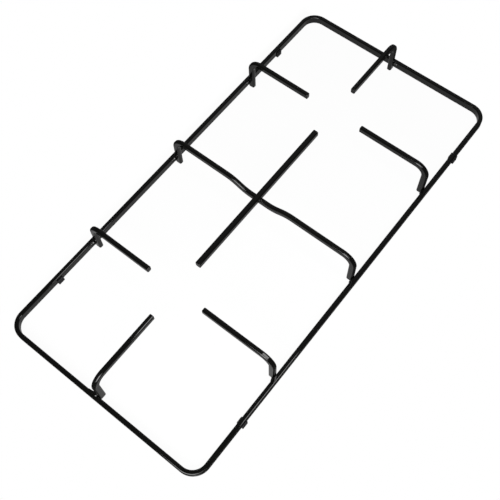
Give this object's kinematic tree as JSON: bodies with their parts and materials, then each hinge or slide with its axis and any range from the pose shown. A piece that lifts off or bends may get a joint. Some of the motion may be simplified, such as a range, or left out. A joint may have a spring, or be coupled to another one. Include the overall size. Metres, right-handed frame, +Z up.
{
  "type": "hob pan support",
  "caption": "Welded enamelled bar grid that holds pans over gas burners: a rounded frame on rubber saddle feet, bent fingers, a dipped cross bar and a long bar level with the fingers.",
  "frame": {"origin": "on the hob plate, under the middle of the frame", "axes": "+X across the support from its left long side to its right one, +Y along it from front to rear, +Z up"},
  "size_m": [0.2326, 0.476, 0.0456],
  "materials": {
    "black_enamel": "gloss vitreous enamel",
    "black_rubber": "matt moulded rubber"
  },
  "bodies": {
    "root": {"frame": "black_enamel", "finger_left_front": "black_enamel", "finger_left_rear": "black_enamel", "finger_right_front": "black_enamel", "finger_right_rear": "black_enamel", "finger_front": "black_enamel", "finger_rear": "black_enamel", "cross_bar": "black_enamel", "long_bar": "black_enamel", "foot_left_front": "black_rubber", "foot_left_rear": "black_rubber", "foot_right_front": "black_rubber", "foot_right_rear": "black_rubber"}
  },
  "joints": []
}
